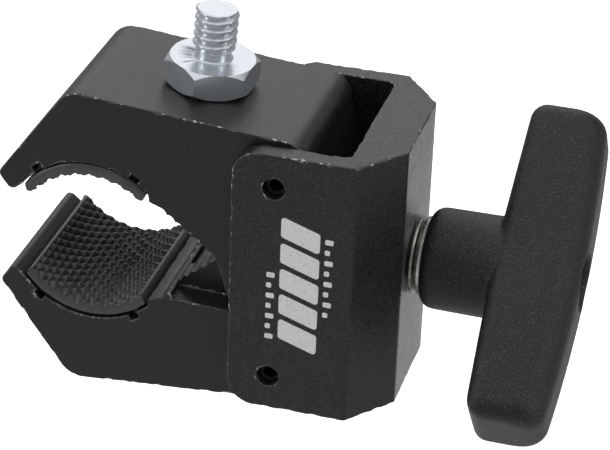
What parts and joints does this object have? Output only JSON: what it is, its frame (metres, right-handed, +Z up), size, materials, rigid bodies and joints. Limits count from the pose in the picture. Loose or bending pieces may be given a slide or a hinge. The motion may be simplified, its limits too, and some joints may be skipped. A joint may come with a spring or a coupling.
{
  "type": "super clamp",
  "caption": "Small screw clamp with rubber-padded hinged jaws in a channel yoke, closed by a T-handle spindle, and a threaded stud on a hexagon for accessories.",
  "frame": {"origin": "middle of the tube that the padded jaws grip, half way across the jaws, with the clamp standing open as modelled", "axes": "+X along the spindle towards the handle, +Y across the clamp along the gripped tube, +Z up towards the mounting stud; -Y is the side plate with the printed graphic"},
  "size_m": [0.0825, 0.0442, 0.0568],
  "materials": {
    "black_extrusion": "black finished extrusion with a fine blasted grain, saw-cut sides",
    "pad_rubber": "moulded black rubber with a small diamond tread",
    "bright_zinc": "bright bluish zinc plate on steel",
    "plain_steel": "machined steel, lightly oiled",
    "spring_steel": "black oxide",
    "handle_black": "matt black moulding with a fine spark texture"
  },
  "bodies": {
    "yoke": {"yoke": "black_extrusion", "upper_pivot_pin": "spring_steel", "lower_pivot_pin": "spring_steel"},
    "upper_jaw": {"upper_jaw": "black_extrusion", "upper_pad": "pad_rubber", "stud": "bright_zinc"},
    "lower_jaw": {"lower_jaw": "black_extrusion", "lower_pad": "pad_rubber"},
    "barrel_nut": {"barrel_nut": "plain_steel"},
    "spindle": {"spindle": "plain_steel", "end_clip": "spring_steel", "inner_thrust_washer": "plain_steel", "outer_thrust_washer": "plain_steel", "handle_insert": "plain_steel", "t_handle": "handle_black", "screw_lock_washer": "spring_steel", "handle_screw": "spring_steel"}
  },
  "joints": [
    {"name": "handle_turn", "type": "hinge", "parent": "yoke", "child": "spindle", "pos_m": [0.0447, 0, 0], "axis": [-1, 0, 0], "range_deg": [0, 800]},
    {"name": "nut_slide", "type": "slide", "parent": "yoke", "child": "barrel_nut", "axis": [1, 0, 0], "range_m": [0, 0.00225]},
    {"name": "upper_jaw_pivot", "type": "hinge", "parent": "yoke", "child": "upper_jaw", "pos_m": [0.0277, 0, 0.015], "axis": [0, -1, 0], "range_deg": [0, 8.5]},
    {"name": "lower_jaw_pivot", "type": "hinge", "parent": "yoke", "child": "lower_jaw", "pos_m": [0.0277, 0, -0.015], "axis": [0, 1, 0], "range_deg": [0, 8.5]}
  ],
  "couplings": [
    {"joint": "nut_slide", "follows": "handle_turn", "m_per_rad": 0.00015915},
    {"joint": "upper_jaw_pivot", "follows": "handle_turn", "ratio": 0.01061},
    {"joint": "lower_jaw_pivot", "follows": "handle_turn", "ratio": 0.01061}
  ]
}
